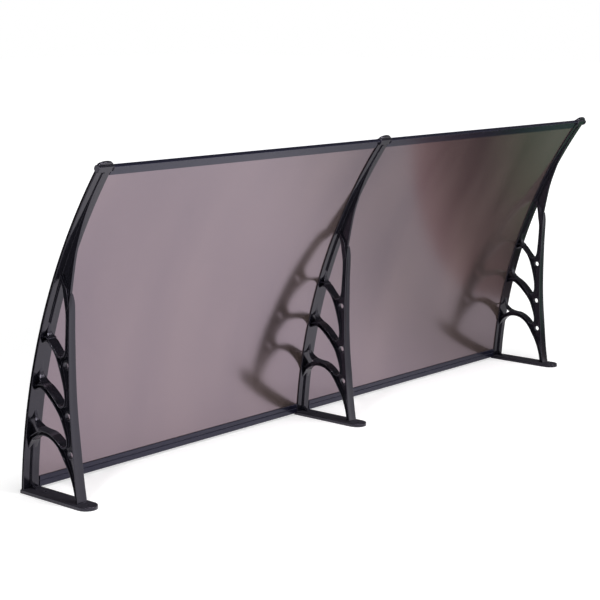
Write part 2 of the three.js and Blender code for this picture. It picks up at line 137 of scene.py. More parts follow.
# Places by the rail
def arc_centre():
    s = sizes()
    return Vector((0, WALL_EDGE - s.radius * math.cos(s.lean), -s.radius * math.sin(s.lean)))


def rail_point(length, depth):
    """Point (y, z) by the rail: length along it, depth below its weather face."""
    s = sizes()
    lean = s.lean + length / s.radius
    centre = arc_centre()
    r = s.radius - depth
    return Vector((centre.y + r * math.cos(lean), centre.z + r * math.sin(lean)))


def tip_point(reach, depth):
    """Point (y, z) by the rail's tip: reach past it along its tangent."""
    s = sizes()
    lean = s.lean + s.rail_length / s.radius
    p = rail_point(s.rail_length, depth)
    return Vector((p.x - reach * math.sin(lean), p.y + reach * math.cos(lean)))


def side_point(d, z):
    """Point (y, z) from d down the wall below the sheet's wall edge and z off the wall."""
    return Vector((WALL_EDGE - d, z))


def by_rail(pairs):
    return [rail_point(length * MM, depth * MM) for length, depth in pairs]


def rail_width(length):
    s = sizes()
    return s.rail_base + (s.rail_tip - s.rail_base) * length / s.rail_length


def sheet_face():
    return sizes().strip + sizes().gap


def flange_face():
    return sheet_face() + sizes().sheet + sizes().gap


def flange_underside():
    return flange_face() + sizes().flange


def lerp(a, b, t):
    return a + (b - a) * t


def smooth(t, low, high):
    t = min(1, max(0, (t - low) / (high - low)))
    return t * t * (3 - 2 * t)


class Spline:
    """Smooth curve through points of the side view."""

    def __init__(self, points):
        self.points = points

    def at(self, t):
        last = len(self.points) - 1
        k = min(int(t * last), last - 1)
        u = t * last - k
        p1, p2 = self.points[k], self.points[k + 1]
        p0, p3 = self.points[max(k - 1, 0)], self.points[min(k + 2, last)]
        v0, v1 = (p2 - p0) * 0.5, (p3 - p1) * 0.5
        return (2 * p1 - 2 * p2 + v0 + v1) * u ** 3 + (3 * p2 - 3 * p1 - 2 * v0 - v1) * u ** 2 + v0 * u + p1

    def tangent(self, t):
        step = 1e-4
        return (self.at(min(1, t + step)) - self.at(max(0, t - step))).normalized()

    def samples(self, count):
        return [self.at(i / count) for i in range(count + 1)]


# Solids in mesh code
def closed(bm):
    bmesh.ops.remove_doubles(bm, verts=bm.verts, dist=1e-6)
    bmesh.ops.recalc_face_normals(bm, faces=bm.faces)
    return bm


def round_edges(bm, width, segments=2, sharper_than=40, keep=None):
    """Rounds the edges that are sharper than an angle."""
    bm.normal_update()
    limit = math.radians(sharper_than)
    edges = [
        e for e in bm.edges
        if len(e.link_faces) == 2 and e.calc_face_angle(0) > limit and (keep is None or keep(e))
    ]
    bmesh.ops.bevel(
        bm, geom=edges, offset=width, offset_type="OFFSET", affect="EDGES", segments=segments,
        profile=0.5, material=-1, clamp_overlap=True,
    )
    return bm


def grown_verts(bm, faces):
    """Extrudes faces in place and returns the new vertices, for the caller to move."""
    grown = bmesh.ops.extrude_face_region(bm, geom=faces)["geom"]
    return [item for item in grown if isinstance(item, bmesh.types.BMVert)]


def extruded(outline, width, centre=0.0):
    """Solid with a side view outline and a width along X."""
    bm = bmesh.new()
    face = bm.faces.new([bm.verts.new((centre - width / 2, p.x, p.y)) for p in outline])
    bmesh.ops.translate(bm, verts=grown_verts(bm, [face]), vec=(width, 0, 0))
    return closed(bm)


def spun(section, start, end, steps):
    """Solid that follows the rail, from a section of (x, depth) corners at its start."""
    bm = bmesh.new()
    ring = []
    for x, depth in section:
        p = rail_point(start, depth)
        ring.append(bm.verts.new((x, p.x, p.y)))
    face = bm.faces.new(ring)
    bmesh.ops.spin(
        bm, geom=[face], cent=arc_centre(), axis=(1, 0, 0), dvec=(0, 0, 0),
        angle=(end - start) / sizes().radius, steps=steps, use_merge=False, use_duplicate=False,
    )
    return closed(bm)


def taper_like_rail(bm, start):
    """Narrows a spun solid as the rail narrows from its width at the start."""
    s, centre = sizes(), arc_centre()
    for v in bm.verts:
        lean = math.atan2(v.co.z - centre.z, v.co.y - centre.y)
        v.co.x *= rail_width((lean - s.lean) * s.radius) / rail_width(start)
    return bm


def rounded_box(left, right, top, bottom, radius, steps=3):
    """Section with round corners, as (x, depth) points."""
    centres = (
        (right - radius, bottom - radius, 0), (left + radius, bottom - radius, 1),
        (left + radius, top + radius, 2), (right - radius, top + radius, 3),
    )
    points = []
    for x, depth, turn in centres:
        for i in range(steps + 1):
            angle = math.pi / 2 * (turn + i / steps)
            points.append((x + radius * math.cos(angle), depth + radius * math.sin(angle)))
    return points


LINING_RIM = 1.3 * MM
RAIL_STEPS, SHEET_STEPS = 96, 128


def strip_along(curve, steps, width, thickness, crown=0.0):
    """Moulded strip that follows a side view curve, with its outer face on the curve."""
    bm = bmesh.new()
    across = 4
    bmesh.ops.create_grid(bm, x_segments=steps, y_segments=across, size=1)
    for v in bm.verts:
        u, w = (v.co.x + 1) / 2, v.co.y
        p, t = curve.at(u), curve.tangent(u)
        normal = Vector((-t.y, t.x))
        p = p + normal * crown * (1 - abs(w))
        v.co = Vector((w * width(u) / 2, p.x, p.y))
    for v in grown_verts(bm, bm.faces[:]):
        u = nearest_place(curve, steps, v.co)
        t = curve.tangent(u)
        v.co += Vector((0, t.y, -t.x)) * thickness
    return round_edges(closed(bm), LINING_RIM, 2, 60)


def nearest_place(curve, steps, co):
    places = [i / steps for i in range(steps + 1)]
    return min(places, key=lambda u: (curve.at(u) - Vector((co.y, co.z))).length)


def rod(diameter, length, middle, axis, sides=48, end_diameter=None):
    """Round solid along an axis."""
    bm = bmesh.new()
    bmesh.ops.create_cone(
        bm, cap_ends=True, segments=sides, radius1=diameter / 2,
        radius2=(end_diameter or diameter) / 2, depth=length,
    )
    turn = Vector((0, 0, 1)).rotation_difference(Vector(axis)).to_matrix().to_4x4()
    bmesh.ops.transform(bm, matrix=Matrix.Translation(middle) @ turn, verts=bm.verts)
    return bm


def moved_copy(bm, x):
    new = bm.copy()
    bmesh.ops.translate(new, verts=new.verts, vec=(x, 0, 0))
    return new


def spare_object(bm):
    mesh = bpy.data.meshes.new("spare")
    bm.to_mesh(mesh)
    bm.free()
    return bpy.data.objects.new("spare", mesh)


def combined(base, others, operation):
    """Joins or cuts a solid with others and returns the new solid."""
    target = spare_object(base)
    bpy.context.scene.collection.objects.link(target)
    tools = bpy.data.collections.new("spare")
    for bm in others:
        tools.objects.link(spare_object(bm))
    modifier = target.modifiers.new("join", "BOOLEAN")
    modifier.operand_type = "COLLECTION"
    modifier.collection = tools
    modifier.operation = operation
    modifier.solver = "EXACT"
    modifier.use_self = False
    result = bmesh.new()
    result.from_object(target, bpy.context.evaluated_depsgraph_get())
    for obj in [target, *tools.objects]:
        mesh = obj.data
        bpy.data.objects.remove(obj)
        bpy.data.meshes.remove(mesh)
    bpy.data.collections.remove(tools)
    if not result.faces:
        raise RuntimeError(f"the {operation.lower()} of a piece came out empty")
    return result


SMOOTH_BELOW = math.radians(32)


def make_piece(name, bm, material, replaced=()):
    """Turns a finished mesh into a piece of the canopy."""
    mesh = bpy.data.meshes.new(name)
    bm.to_mesh(mesh)
    bm.free()
    mesh.shade_smooth()
    mesh.set_sharp_from_angle(angle=SMOOTH_BELOW)
    mesh.materials.append(material)
    obj = bpy.data.objects.new(name, mesh)
    bpy.context.scene.collection.objects.link(obj)
    flat = obj.modifiers.new("flat faces stay flat", "WEIGHTED_NORMAL")
    flat.weight = 90
    flat.keep_sharp = True
    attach(obj, ROOT)
    if replaced:
        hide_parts(*replaced)
    return obj


# Finishes
DULL_FACE, DULL_ROUGHNESS = 0.9, 0.8
EDGE_WIDTH, EDGE_HIGHLIGHT_STRENGTH = 0.9 * MM, 4.0
GRAIN_BUMP, GRAIN_HEIGHT = 0.03, 0.4 * MM
PLASTIC_GLOSS, SHEET_IOR = 0.53, 2.52
PLASTIC_TINT, BAR_TINT, SHEET_TINT = (0.88, 0.82, 1.0, 1), (0.74, 0.71, 1.0, 1), (1.0, 0.8, 0.97, 1)
# The lighter edge colours are a painted highlight along the edges
PLASTIC_EDGE_HIGHLIGHT, BAR_EDGE_HIGHLIGHT = (0.11, 0.105, 0.14, 1), (0.08, 0.08, 0.12, 1)
CAP_COLOUR, CAP_EDGE_HIGHLIGHT = (0.008, 0.008, 0.012, 1), (0.12, 0.115, 0.15, 1)


def new_group(name, inputs, outputs):
    group = bpy.data.node_groups.new(name, "ShaderNodeTree")
    for label, kind, value in inputs:
        socket = group.interface.new_socket(label, in_out="INPUT", socket_type=kind)
        if value is not None:
            socket.default_value = value
    for label, kind in outputs:
        group.interface.new_socket(label, in_out="OUTPUT", socket_type=kind)
    return group, group.nodes.new("NodeGroupInput"), group.nodes.new("NodeGroupOutput")


def node(tree, kind, inputs=(), **settings):
    """New node with its settings; inputs maps sockets to values or to other sockets."""
    new = tree.nodes.new(kind)
    for key, value in settings.items():
        setattr(new, key, value)
    for key, value in dict(inputs).items():
        if isinstance(value, bpy.types.NodeSocket):
            tree.links.new(value, new.inputs[key])
        else:
            new.inputs[key].default_value = value
    return new


def grain_group():
    """Fine moulded grain: a height and a roughness, which is duller on faces parallel to the wall."""
    group, given, out = new_group(
        "Moulded grain",
        [("Scale", "NodeSocketFloat", 900), ("Roughness", "NodeSocketFloat", 0.35),
         ("Spread", "NodeSocketFloat", 0.1)],
        [("Height", "NodeSocketFloat"), ("Roughness", "NodeSocketFloat")],
    )
    place = node(group, "ShaderNodeTexCoord")
    fine = node(group, "ShaderNodeTexNoise", {
        "Vector": place.outputs["Object"], "Scale": given.outputs["Scale"], "Detail": 3,
    })
    broad = node(group, "ShaderNodeTexNoise", {
        "Vector": place.outputs["Object"], "Scale": 14, "Detail": 4, "Roughness": 0.6,
    })
    centred = node(group, "ShaderNodeMath", {0: broad.outputs["Fac"], 1: 0.5}, operation="SUBTRACT")
    varied = node(group, "ShaderNodeMath", {
        0: centred.outputs[0], 1: given.outputs["Spread"], 2: given.outputs["Roughness"],
    }, operation="MULTIPLY_ADD")
    axes = node(group, "ShaderNodeSeparateXYZ", {"Vector": place.outputs["Normal"]})
    textured = node(group, "ShaderNodeMapRange", {
        "Value": axes.outputs["Z"], "From Min": DULL_FACE, "From Max": 1.0,
        "To Min": 0.0, "To Max": DULL_ROUGHNESS,
    })
    total = node(group, "ShaderNodeMath", {
        0: varied.outputs[0], 1: textured.outputs["Result"],
    }, operation="ADD")
    group.links.new(fine.outputs["Fac"], out.inputs["Height"])
    group.links.new(total.outputs[0], out.inputs["Roughness"])
    return group


def edge_rounding_and_highlight_group():
    """Painted highlight along the edges, as a mask from the rounding of the surface."""
    group, given, out = new_group(
        "Edge rounding and painted highlight",
        [("Width", "NodeSocketFloat", EDGE_WIDTH), ("Strength", "NodeSocketFloat", EDGE_HIGHLIGHT_STRENGTH)],
        [("Mask", "NodeSocketFloat"), ("Normal", "NodeSocketVector")],
    )
    rounded = node(group, "ShaderNodeBevel", {"Radius": given.outputs["Width"]}, samples=6)
    plain = node(group, "ShaderNodeNewGeometry")
    facing = node(group, "ShaderNodeVectorMath", {
        0: rounded.outputs["Normal"], 1: plain.outputs["Normal"],
    }, operation="DOT_PRODUCT")
    away = node(group, "ShaderNodeMath", {0: 1, 1: facing.outputs["Value"]}, operation="SUBTRACT")
    place = node(group, "ShaderNodeTexCoord")
    patchy = node(group, "ShaderNodeTexNoise", {
        "Vector": place.outputs["Object"], "Scale": 60, "Detail": 3,
    })
    strong = node(group, "ShaderNodeMath", {
        0: away.outputs[0], 1: given.outputs["Strength"],
    }, operation="MULTIPLY")
    mask = node(group, "ShaderNodeMath", {
        0: strong.outputs[0], 1: patchy.outputs["Fac"],
    }, operation="MULTIPLY", use_clamp=True)
    group.links.new(mask.outputs[0], out.inputs["Mask"])
    group.links.new(rounded.outputs["Normal"], out.inputs["Normal"])
    return group


def use_group(tree, name, build, **inputs):
    shared = bpy.data.node_groups.get(name) or build()
    new = tree.nodes.new("ShaderNodeGroup")
    new.node_tree = shared
    for key, value in inputs.items():
        new.inputs[key.capitalize()].default_value = value
    return new


def bare_material(name):
    material = bpy.data.materials.new(name)
    material.use_nodes = True
    return material, material.node_tree, material.node_tree.nodes["Principled BSDF"]


def moulded_plastic(name, base, edge_highlight, tint=PLASTIC_TINT, grain=900, roughness=0.15):
    """Satin moulded plastic with fine grain and a painted highlight along the edges."""
    material, tree, shader = bare_material(name)
    texture = use_group(tree, "Moulded grain", grain_group, scale=grain, roughness=roughness, spread=0.12)
    edges = use_group(tree, "Edge rounding and painted highlight", edge_rounding_and_highlight_group, width=EDGE_WIDTH, strength=EDGE_HIGHLIGHT_STRENGTH)
    # Painted highlight: the lighter edge colour is mixed in where the surface is rounded
    shade = node(tree, "ShaderNodeMix", {
        "Factor": edges.outputs["Mask"], "A": base, "B": edge_highlight,
    }, data_type="RGBA")
    bump = node(tree, "ShaderNodeBump", {
        "Strength": GRAIN_BUMP, "Distance": GRAIN_HEIGHT, "Height": texture.outputs["Height"],
        "Normal": edges.outputs["Normal"],
    })
    tree.links.new(shade.outputs["Result"], shader.inputs["Base Color"])
    tree.links.new(texture.outputs["Roughness"], shader.inputs["Roughness"])
    tree.links.new(bump.outputs["Normal"], shader.inputs["Normal"])
    shader.inputs["Specular IOR Level"].default_value = PLASTIC_GLOSS
    shader.inputs["Specular Tint"].default_value = tint
    return material


def plastic():
    return bpy.data.materials.get("Bracket plastic") or moulded_plastic(
        "Bracket plastic", colours().plastic, PLASTIC_EDGE_HIGHLIGHT,
    )


def cap_plastic():
    return bpy.data.materials.get("Cap plastic") or moulded_plastic(
        "Cap plastic", CAP_COLOUR, CAP_EDGE_HIGHLIGHT, grain=700,
    )


def bar_finish():
    return bpy.data.materials.get("Bar coating") or moulded_plastic(
        "Bar coating", colours().bars, BAR_EDGE_HIGHLIGHT, BAR_TINT, grain=1500, roughness=0.18,
    )


def bronze():
    """Bronze polycarbonate: cloudy brown in the mass, with a glossy surface."""
    known = bpy.data.materials.get("Bronze sheet")
    if known:
        return known
    material, tree, shader = bare_material("Bronze sheet")
    place = node(tree, "ShaderNodeTexCoord")
    stretched = node(tree, "ShaderNodeMapping", {
        "Vector": place.outputs["Object"], "Scale": (1.0, 0.35, 0.35),
    })
    clouds = node(tree, "ShaderNodeTexNoise", {
        "Vector": stretched.outputs["Vector"], "Scale": 5, "Detail": 3, "Roughness": 0.4,
    })
    spread = node(tree, "ShaderNodeMapRange", {
        "Value": clouds.outputs["Fac"], "From Min": 0.3, "From Max": 0.7,
    })
    tint = node(tree, "ShaderNodeMix", {
        "Factor": spread.outputs["Result"], "A": colours().bronze, "B": colours().bronze_light,
    }, data_type="RGBA")
    haze = node(tree, "ShaderNodeMapRange", {
        "Value": clouds.outputs["Fac"], "From Min": 0.3, "From Max": 0.7, "To Min": 0.13, "To Max": 0.19,
    })
    tree.links.new(tint.outputs["Result"], shader.inputs["Base Color"])
    tree.links.new(haze.outputs["Result"], shader.inputs["Roughness"])
    shader.inputs["IOR"].default_value = SHEET_IOR
    shader.inputs["Specular Tint"].default_value = SHEET_TINT
    return material


# Brackets
POST_FRONT = (
    (542, 49.5), (515, 61), (488, 70.5), (450, 82.5), (412, 94.5), (374, 105.5), (336, 116),
    (298, 126), (260, 136.2), (222, 146.3), (184, 156.5), (146, 165.5), (105, 174.2), (65, 182.5),
)
WEDGE_FRONT = ((542, 49.5), (585, 39.5), (634, 28), (680, 20.8), (726, 15.2), (775, 12))
WEDGE_END = 816
RIB_DEPTH, TIP_RIB_DEPTH, TIP_RIB_SHORT = 5 * MM, 2.5 * MM, 6 * MM
RIB_RANGES = ((20, 125), (440, 575))
POST_BLADE = (
    (572, 7), (564, 17.3), (558, 25.4), (548.5, 38.7), (528, 52.6), (512, 60),
    (498, 56), (522, 42), (546, 27.5), (555, 17.5), (561, 7),
)

# Each window starts on the rail, runs round through its points and ends on the rail.
WINDOWS = (
    (560, (
        (553, 16.5), (544, 26), (520, 40.5), (496, 54.5), (467, 65), (430, 75.5), (404, 81.5),
        (391, 81.5), (384, 77), (383, 69), (392, 52), (402, 35), (409, 21), (422, 11.5),
    ), 452),
    (387, (
        (399, 21.5), (394, 37), (384, 54), (368, 69), (345, 84), (316, 98.5), (289, 107.5),
        (271, 109.5), (261, 105.5), (261, 97.5), (271, 82.5), (281, 65), (288, 46.5), (292, 30),
        (301, 17.5), (316, 10),
    ), 338),
    (265, (
        (277, 28.5), (274, 46), (265, 64.5), (251, 86.5), (233, 106), (210, 119.5), (187, 129.5),
        (169, 133.5), (159, 131), (157, 123), (167, 108), (175, 89.5), (178, 71), (176, 52),
        (177, 35.5), (184, 23), (194, 15),
    ), 212),
)
ARCH_START = 112
ARCH = (
    (137, 18.5), (152, 33.5), (163, 56), (165, 79), (158, 101), (142, 121), (122, 136),
    (102, 148.5), (79, 159.5), (55, 169),
)
ARM_ROOTS = (
    (((408, 24.5), (409, 15)), 406),
    (((291, 35.5), (286, 22)), 279),
    (((174, 46), (164, 29.5)), 146),
)
ARM_OPENINGS = (
    (408, 432, ((419, 12), (410, 20.5))),
    (282, 322, ((308, 11.5), (298, 18), (291, 32))),
    (149, 198, ((190, 16), (180, 24.5), (175, 41), (166, 29))),
)
POST_HOLES = ((367, 91.5), (241, 124.5), (143, 147.5))
POST_PLACE, POST_SPREAD, SWEEP_PLACE = 0.43, 0.12, 0.8
POST_WIDENS, ARCH_NARROWS = (-0.02, 0.07), (0.55, 0.85)
POST_TOP_WIDTH, POST_FOOT_WIDTH, POST_CROWN = 17.5 * MM, 30 * MM, 1.2 * MM
BOSS_WIDTH, HOLE_CHAMFER = 10 * MM, 1.5 * MM
WALL_HOLE, WALL_BOSS, WALL_BOSS_RISE = 7 * MM, 15 * MM, 2 * MM
WALL_HOLE_UPPER, WALL_HOLE_END = 62 * MM, 22 * MM
PAD_WIDTH, PAD_REACH = 27 * MM, 9 * MM
DRILL_LENGTH, RAIL_START = 30 * MM, 4 * MM
GUSSET_START, GUSSET_BEND, GUSSET_END = 36, ((25, 12), (18, 19)), 30
POST_FOOT, POST_FOOT_SINK = 193 * MM, 5 * MM
ARCH_FOOT, ARCH_FOOT_RISE, ARCH_FLOOR = 178 * MM, 3 * MM, (170 * MM, 60 * MM)


def post_front():
    foot = side_point(POST_FOOT, sizes().plate_thickness - POST_FOOT_SINK)
    return Spline([*by_rail(POST_FRONT), foot])


def wedge_front():
    under = flange_underside()
    ends = [rail_point(WEDGE_END * MM, under + TIP_RIB_DEPTH),
            rail_point(sizes().rail_length - TIP_RIB_SHORT, under + TIP_RIB_DEPTH)]
    return Spline(by_rail(WEDGE_FRONT) + ends)


def window_curve(start, points, end):
    under = flange_underside()
    return Spline([rail_point(start * MM, under), *by_rail(points), rail_point(end * MM, under)])


def arch_curve():
    top = rail_point(ARCH_START * MM, flange_underside())
    foot = side_point(ARCH_FOOT, sizes().plate_thickness + ARCH_FOOT_RISE)
    return Spline([top, *by_rail(ARCH), foot])


def lining_width(top):
    """Width of a window's lining: wide on the arms, narrow on the post and at its end."""
    s = sizes()

    def width(u):
        on_post = math.exp(-((u - POST_PLACE) / POST_SPREAD) ** 2)
        arm = top if u < POST_PLACE else s.arm_width
        return lerp(lerp(arm, s.post_width, on_post), s.sweep_tip, smooth(u, SWEEP_PLACE, 1))

    return width


def rail_edge(start, end, depth, step=8):
    count = max(1, round(abs(end - start) / step))
    return [rail_point(lerp(start, end, i / count) * MM, depth) for i in range(count + 1)]


def bracket_web():
    under = flange_underside()
    tip = (sizes().rail_length - TIP_RIB_SHORT) / MM
    rail = rail_edge(tip, RAIL_START / MM, flange_face() + MM)
    outline = [
        *reversed(post_front().samples(48)), *wedge_front().samples(32)[1:], *rail,
    ]
    holes = []
    for start, points, end in WINDOWS:
        curve = window_curve(start, points, end)
        holes.append([*curve.samples(72), *rail_edge(end, start, under)[1:-1]])
    floor = [side_point(d, sizes().plate_thickness) for d in ARCH_FLOOR]
    foot = [*floor, *gusset_edge(), *rail_edge(GUSSET_END, ARCH_START, under)[:-1]]
    holes.append([*arch_curve().samples(56), *foot])
    for start, end, points in ARM_OPENINGS:
        ends = [rail_point(start * MM, under), rail_point(end * MM, under)]
        holes.append(ends + by_rail(points))
    web = extruded(outline, sizes().web)
    cutters = [extruded(hole, sizes().web + 2 * MM) for hole in holes]
    return combined(web, cutters, "DIFFERENCE")


def gusset_edge():
    """Hollow curve of the small gusset between the rail's foot and the wall plate."""
    start = side_point(GUSSET_START * MM, sizes().plate_thickness)
    bend = [side_point(d * MM, z * MM) for d, z in GUSSET_BEND]
    end = rail_point(GUSSET_END * MM, flange_underside())
    return Spline([start, *bend, end]).samples(12)[:-1]


def rail_flange():
    s = sizes()
    half = rail_width(RAIL_START) / 2
    section = rounded_box(-half, half, flange_face(), flange_underside(), 0.8 * MM)
    return taper_like_rail(spun(section, RAIL_START, s.rail_length, RAIL_STEPS), RAIL_START)


def rail_rib(start, end):
    half = sizes().web / 2
    under = flange_underside()
    section = rounded_box(-half, half, under - MM, under + RIB_DEPTH, 0.9 * MM)
    return spun(section, start * MM, end * MM, 24)


def post_flange():
    s = sizes()

    def width(u):
        return lerp(s.web, lerp(POST_TOP_WIDTH, POST_FOOT_WIDTH, u), smooth(u, *POST_WIDENS))

    return strip_along(post_front(), 64, width, s.lining, POST_CROWN)


def post_blade():
    """Blunt top of the post, which runs up on the rail in front of the first window."""
    return round_edges(extruded(by_rail(POST_BLADE), POST_TOP_WIDTH), 0.9 * MM, 3, 60)


def wall_plate():
    s = sizes()
    half = PLATE_WIDTH / 2
    centre = s.plate_length - PLATE_BACK - half
    bm = bmesh.new()
    points = [(-half, -PLATE_BACK), (half, -PLATE_BACK)]
    points += [
        (half * math.cos(math.pi * i / 32), centre + half * math.sin(math.pi * i / 32))
        for i in range(33)
    ]
    face = bm.faces.new([bm.verts.new((x, WALL_EDGE - d, 0)) for x, d in points])
    bmesh.ops.translate(bm, verts=grown_verts(bm, [face]), vec=(0, 0, s.plate_thickness))
    closed(bm)
    top = s.plate_thickness - 1e-5
    return round_edges(bm, 2 * MM, 3, 60, lambda e: all(v.co.z > top for v in e.verts))


def tip_pad():
    return extruded([
        tip_point(-2 * MM, flange_face()), tip_point(PAD_REACH, flange_face()),
        tip_point(PAD_REACH, flange_underside()), tip_point(-2 * MM, flange_underside()),
    ], PAD_WIDTH)


def sheet_seat():
    wide = PLATE_WIDTH
    section = [(-wide, -10 * MM), (wide, -10 * MM), (wide, flange_face()), (-wide, flange_face())]
    s = sizes()
    return spun(section, s.plate_thickness, s.rail_length + 10 * MM, RAIL_STEPS)


def hole_cutters(p):
    """Through hole with a chamfer on both faces of its boss."""
    s = sizes()
    reach = HOLE_CHAMFER + 0.2 * MM
    middle = Vector((0, p.x, p.y))
    cutters = [rod(s.hole, BOSS_WIDTH + DRILL_LENGTH, middle, (1, 0, 0))]
    for sign in (1, -1):
        place = middle + Vector((sign * (BOSS_WIDTH / 2 + 0.2 * MM - reach / 2), 0, 0))
        cutters.append(rod(
            s.hole - 0.2 * MM, reach, place, (sign, 0, 0), end_diameter=s.hole + 2 * reach,
        ))
    return cutters


def boss(p):
    return round_edges(rod(sizes().boss, BOSS_WIDTH, (0, p.x, p.y), (1, 0, 0)), 1.2 * MM, 3)


def bracket_mesh():
    s = sizes()
    under = flange_underside()
    added = [rail_flange(), *[rail_rib(a, b) for a, b in RIB_RANGES], post_flange(), post_blade(),
             wall_plate(), tip_pad()]
    for i, (start, points, end) in enumerate(WINDOWS):
        top = s.post_width if i == 0 else s.arm_width
        added.append(strip_along(window_curve(start, points, end), 96, lining_width(top), s.lining))
    added.append(strip_along(arch_curve(), 72, lambda u: lerp(
        s.arm_width, s.post_width, smooth(u, *ARCH_NARROWS)), s.lining))
    for points, end in ARM_ROOTS:
        curve = Spline([*by_rail(points), rail_point(end * MM, under)])
        added.append(strip_along(curve, 16, lambda u: s.arm_width, s.lining))
    holes = by_rail(POST_HOLES)
    added += [boss(p) for p in holes]
    lower = s.plate_length - PLATE_BACK - WALL_HOLE_END
    wall_holes = [WALL_EDGE - WALL_HOLE_UPPER, WALL_EDGE - lower]
    ring_top = s.plate_thickness + WALL_BOSS_RISE
    added.append(round_edges(
        rod(WALL_BOSS, ring_top, (0, wall_holes[0], ring_top / 2), (0, 0, 1)), 0.8 * MM, 2))
    body = combined(bracket_web(), added, "UNION")
    cutters = [sheet_seat()]
    for p in holes:
        cutters += hole_cutters(p)
    cutters += [rod(WALL_HOLE, DRILL_LENGTH, (0, y, 5 * MM), (0, 0, 1)) for y in wall_holes]
    return combined(body, cutters, "DIFFERENCE")


class CANOPY_OT_brackets(bpy.types.Operator):
    """Model the three moulded brackets with their wall plates"""

    bl_idname = "canopy.brackets"
    bl_label = "Brackets"

    def execute(self, context):
        one = bracket_mesh()
        for place, x in BRACKET_PLACES:
            make_piece(
                f"moulded_bracket_{place}", moved_copy(one, x), plastic(),
                [f"bracket_{place}"],
            )
        one.free()
        return {"FINISHED"}


# Sheets and cover strips
SHEET_SHORT, SHEET_ROUND = 4 * MM, 0.4 * MM
STRIP_CROWN, STRIP_ROUND = 0.4 * MM, 0.3 * MM


def sheet_span():
    s = sizes()
    return s.plate_thickness + s.gap, s.rail_length - SHEET_SHORT


class CANOPY_OT_sheets(bpy.types.Operator):
    """Bend the two bronze sheets"""

    bl_idname = "canopy.sheets"
    bl_label = "Sheets"

    def execute(self, context):
        start, end = sheet_span()
        for bay in BAYS:
            low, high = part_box(f"sheet_{bay}")
            top = sheet_face()
            section = rounded_box(low.x, high.x, top, top + sizes().sheet, SHEET_ROUND, 2)
            bm = spun(section, start, end, SHEET_STEPS)
            make_piece(f"bent_sheet_{bay}", bm, bronze(), [f"sheet_{bay}"])
        return {"FINISHED"}


class CANOPY_OT_cover_strips(bpy.types.Operator):
    """Model the crowned cover strips on the weather side of the rails"""

    bl_idname = "canopy.cover_strips"
    bl_label = "Cover strips"

    def execute(self, context):
        s = sizes()
        start, end = sheet_span()
        half = rail_width(start) / 2
        count = 12
        section = [(half, s.strip)] + [
            (half * math.cos(math.pi * i / count), STRIP_CROWN * (1 - math.sin(math.pi * i / count)))
            for i in range(count + 1)
        ] + [(-half, s.strip)]
        for place, x in BRACKET_PLACES:
            bm = taper_like_rail(spun(section, start, end, RAIL_STEPS), start)
            round_edges(bm, STRIP_ROUND, 2, 60)
            bmesh.ops.translate(bm, verts=bm.verts, vec=(x, 0, 0))
            make_piece(
                f"crowned_strip_{place}", bm, plastic(), [f"cover_strip_{place}"],
            )
        return {"FINISHED"}


# Screws of the cover strips
SCREW_PLACES = (0.07, 0.285, 0.5, 0.715, 0.93)
SCREW_HEAD, SCREW_RISE, SCREW_SEAT = 8 * MM, 2.2 * MM, 0.3 * MM
SCREW_SLOT, SLOT_LENGTH, SLOT_CUT = 1.2 * MM, 5 * MM, 2 * MM


def screw(length):
    """Pan head with a cross recess, seated on the crown of a cover strip."""
    lean = sizes().lean + length / sizes().radius
    head = round_edges(rod(SCREW_HEAD, SCREW_RISE, (0, 0, SCREW_RISE / 2), (0, 0, 1), 24), 0.9 * MM, 3, 60)
    slots = []
    for wide, long in ((SCREW_SLOT, SLOT_LENGTH), (SLOT_LENGTH, SCREW_SLOT)):
        slot = bmesh.new()
        bmesh.ops.create_cube(slot, size=1)
        bmesh.ops.scale(slot, vec=(wide, long, SLOT_CUT), verts=slot.verts)
        bmesh.ops.translate(slot, vec=(0, 0, SCREW_RISE), verts=slot.verts)
        slots.append(slot)
    head = combined(head, slots, "DIFFERENCE")
    p = rail_point(length, SCREW_SEAT)
    turn = Vector((0, 0, 1)).rotation_difference(Vector((0, math.cos(lean), math.sin(lean))))
    bmesh.ops.transform(
        head, matrix=Matrix.Translation((0, p.x, p.y)) @ turn.to_matrix().to_4x4(), verts=head.verts)
    return head


class CANOPY_OT_strip_screws(bpy.types.Operator):
    """Set the screws that hold the cover strips to the rails"""

    bl_idname = "canopy.strip_screws"
    bl_label = "Strip screws"

    def execute(self, context):
        for i, share in enumerate(SCREW_PLACES):
            one = screw(share * sizes().rail_length)
            for place, x in BRACKET_PLACES:
                make_piece(f"strip_screw_{place}_{i + 1}", moved_copy(one, x), bar_finish())
            one.free()
        return {"FINISHED"}


# Edge bars
FRONT_BAR = {
    "length": 27, "reach": 10, "thickness": 11, "bead": 3, "leg": 7.2, "step": 0.6, "chamfer": 0.8,
}
REAR_BAR = {"start": 6.8, "length": 26.5, "thickness": 8.6, "groove": 1.2, "groove_depth": 2.4}
GROOVE_PLACE = 0.56


def front_bar_outline():
    b = {key: value * MM for key, value in FRONT_BAR.items()}
    s = sizes()
    back, bead = b["reach"] - b["length"], b["reach"] - b["bead"]
    inner, outer = flange_face(), sheet_face() - s.gap
    return [
        tip_point(back, b["step"]), tip_point(back, outer), tip_point(s.gap - SHEET_SHORT, outer),
        tip_point(s.gap - SHEET_SHORT, inner), tip_point(back, inner), tip_point(back, b["leg"]),
        tip_point(bead, b["leg"]), tip_point(bead, b["thickness"]),
        tip_point(b["reach"], b["thickness"]), tip_point(b["reach"], b["chamfer"]),
        tip_point(b["reach"] - b["chamfer"], 0), tip_point(bead, 0), tip_point(bead, b["step"]),
    ]


